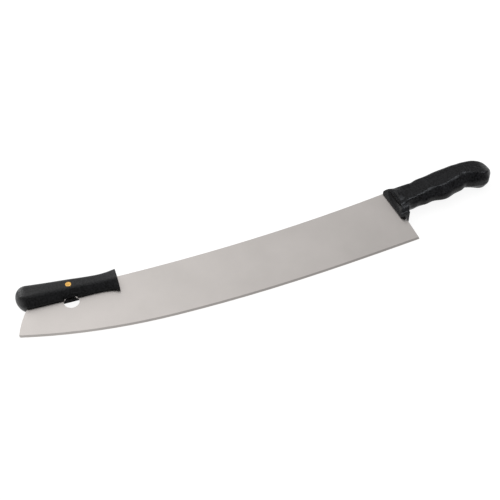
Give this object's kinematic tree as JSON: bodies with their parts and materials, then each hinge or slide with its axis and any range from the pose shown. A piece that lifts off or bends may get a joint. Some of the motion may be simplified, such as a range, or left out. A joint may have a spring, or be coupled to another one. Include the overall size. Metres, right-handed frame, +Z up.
{
  "type": "rocking pizza knife",
  "caption": "Rocking pizza knife: a long steel blade with a curved edge, a black moulded rear handle with a guard, and a black front handle riveted over the spine.",
  "frame": {"origin": "on the floor, in the middle of the rear handle's flat lower side", "axes": "+X along the chord of the cutting edge towards the rear handle, +Y from the cutting edge to the spine, +Z up, square to the blade"},
  "size_m": [0.6119, 0.121, 0.027],
  "materials": {
    "steel": "satin",
    "handle_plastic": "fine matte grain",
    "rivet_metal": "satin"
  },
  "bodies": {
    "root": {"blade": "steel", "rear_handle": "handle_plastic", "front_handle": "handle_plastic", "rivet_post": "rivet_metal", "rivet_sleeve": "rivet_metal"}
  },
  "joints": []
}
